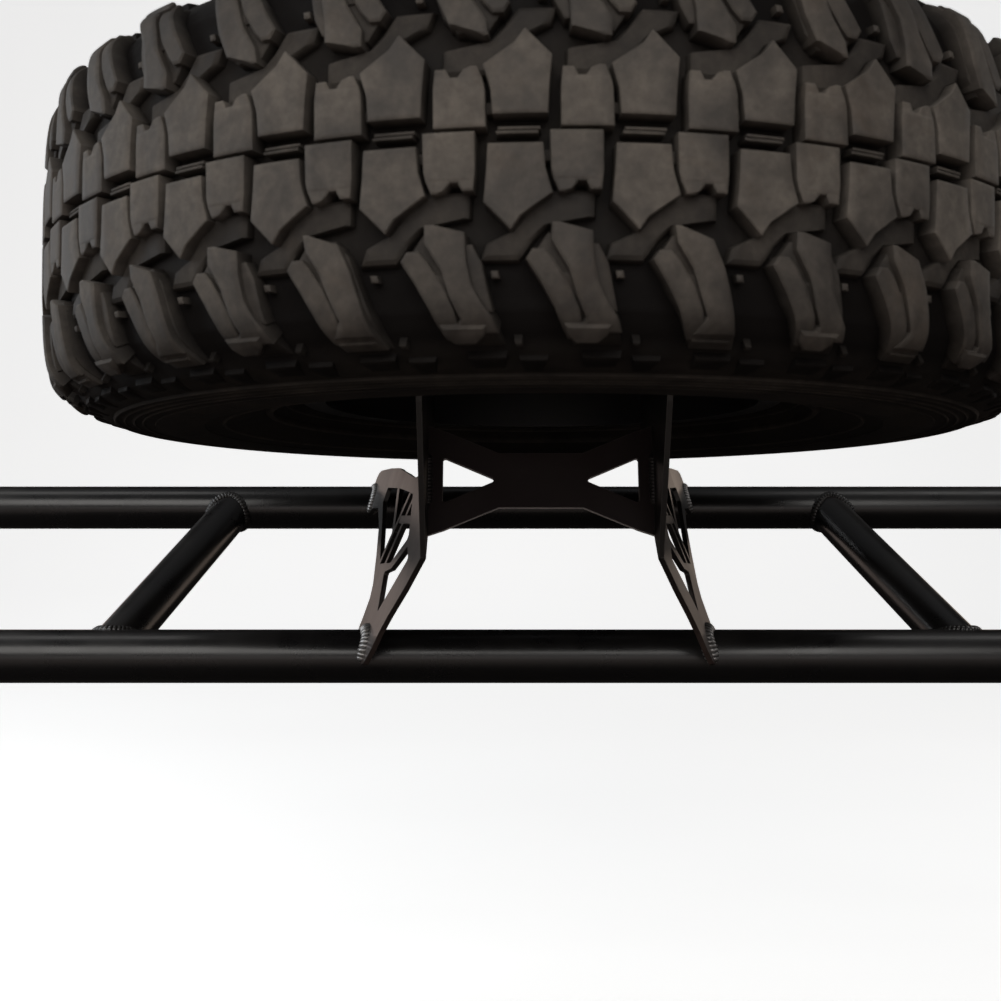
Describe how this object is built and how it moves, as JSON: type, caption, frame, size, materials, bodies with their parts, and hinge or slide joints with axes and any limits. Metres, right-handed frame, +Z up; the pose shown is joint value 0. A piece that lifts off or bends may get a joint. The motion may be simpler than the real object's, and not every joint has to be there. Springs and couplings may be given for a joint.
{
  "type": "spare tire carrier",
  "caption": "Tube rack with folded plate bracket that carries a spare off-road wheel flat on studs behind a small off-road vehicle.",
  "frame": {"origin": "middle of the lower crossbar's axis, on the carrier's left-right symmetry plane", "axes": "+X to the right seen from behind the vehicle, +Y forwards to the vehicle, +Z up along the spare wheel's axis"},
  "size_m": [1.3, 0.8232, 0.4814],
  "materials": {
    "powder": "satin black powder coat",
    "weld_bead": "rippled weld bead under thin black coat",
    "zinc": "zinc plated",
    "rim_paint": "satin black paint",
    "cap_plastic": "moulded",
    "valve_rubber": "moulded",
    "tyre_rubber": "dusty moulded rubber"
  },
  "bodies": {
    "carrier": {"lower_crossbar": "powder", "upper_crossbar": "powder", "brace_left": "powder", "brace_right": "powder", "side_plate_left": "powder", "side_plate_right": "powder", "cross_plate": "powder", "hub_plate": "powder", "hub_pilot": "powder", "brace_welds_lower": "weld_bead", "brace_welds_upper": "weld_bead", "foot_welds": "weld_bead", "saddle_welds": "weld_bead", "cross_welds": "weld_bead", "hub_welds": "weld_bead", "wheel_stud_1": "zinc", "wheel_stud_2": "zinc", "wheel_stud_3": "zinc", "wheel_stud_4": "zinc"},
    "spare_wheel": {"rim_barrel": "rim_paint", "wheel_disc": "rim_paint", "centre_cap": "cap_plastic", "valve_stem": "valve_rubber", "balance_weights": "zinc", "tyre": "tyre_rubber"},
    "valve_cap": {"valve_cap": "cap_plastic"},
    "washer_1": {"lug_washer_1": "zinc"},
    "nut_1": {"lug_nut_1": "zinc"},
    "washer_2": {"lug_washer_2": "zinc"},
    "nut_2": {"lug_nut_2": "zinc"},
    "washer_3": {"lug_washer_3": "zinc"},
    "nut_3": {"lug_nut_3": "zinc"},
    "washer_4": {"lug_washer_4": "zinc"},
    "nut_4": {"lug_nut_4": "zinc"}
  },
  "joints": [
    {"name": "wheel_lift", "type": "slide", "parent": "carrier", "child": "spare_wheel", "axis": [0, 0, 1], "range_m": [0, 0.25]},
    {"name": "nut_1_travel", "type": "slide", "parent": "spare_wheel", "child": "washer_1", "axis": [0, 0, 1], "range_m": [0, 0.0271]},
    {"name": "nut_1_unscrew", "type": "hinge", "parent": "washer_1", "child": "nut_1", "pos_m": [0.04844, -0.05706, 0.3835], "axis": [0, 0, 1], "range_deg": [0, 6480]},
    {"name": "nut_2_travel", "type": "slide", "parent": "spare_wheel", "child": "washer_2", "axis": [0, 0, 1], "range_m": [0, 0.0271]},
    {"name": "nut_2_unscrew", "type": "hinge", "parent": "washer_2", "child": "nut_2", "pos_m": [-0.04844, -0.05706, 0.3835], "axis": [0, 0, 1], "range_deg": [0, 6480]},
    {"name": "nut_3_travel", "type": "slide", "parent": "spare_wheel", "child": "washer_3", "axis": [0, 0, 1], "range_m": [0, 0.0271]},
    {"name": "nut_3_unscrew", "type": "hinge", "parent": "washer_3", "child": "nut_3", "pos_m": [-0.04844, -0.15394, 0.3835], "axis": [0, 0, 1], "range_deg": [0, 6480]},
    {"name": "nut_4_travel", "type": "slide", "parent": "spare_wheel", "child": "washer_4", "axis": [0, 0, 1], "range_m": [0, 0.0271]},
    {"name": "nut_4_unscrew", "type": "hinge", "parent": "washer_4", "child": "nut_4", "pos_m": [0.04844, -0.15394, 0.3835], "axis": [0, 0, 1], "range_deg": [0, 6480]},
    {"name": "valve_cap_off", "type": "slide", "parent": "spare_wheel", "child": "valve_cap", "axis": [0, 0, 1], "range_m": [0, 0.03]}
  ],
  "couplings": [
    {"joint": "nut_1_travel", "follows": "nut_1_unscrew", "m_per_rad": 0.00023873},
    {"joint": "nut_2_travel", "follows": "nut_2_unscrew", "m_per_rad": 0.00023873},
    {"joint": "nut_3_travel", "follows": "nut_3_unscrew", "m_per_rad": 0.00023873},
    {"joint": "nut_4_travel", "follows": "nut_4_unscrew", "m_per_rad": 0.00023873}
  ]
}
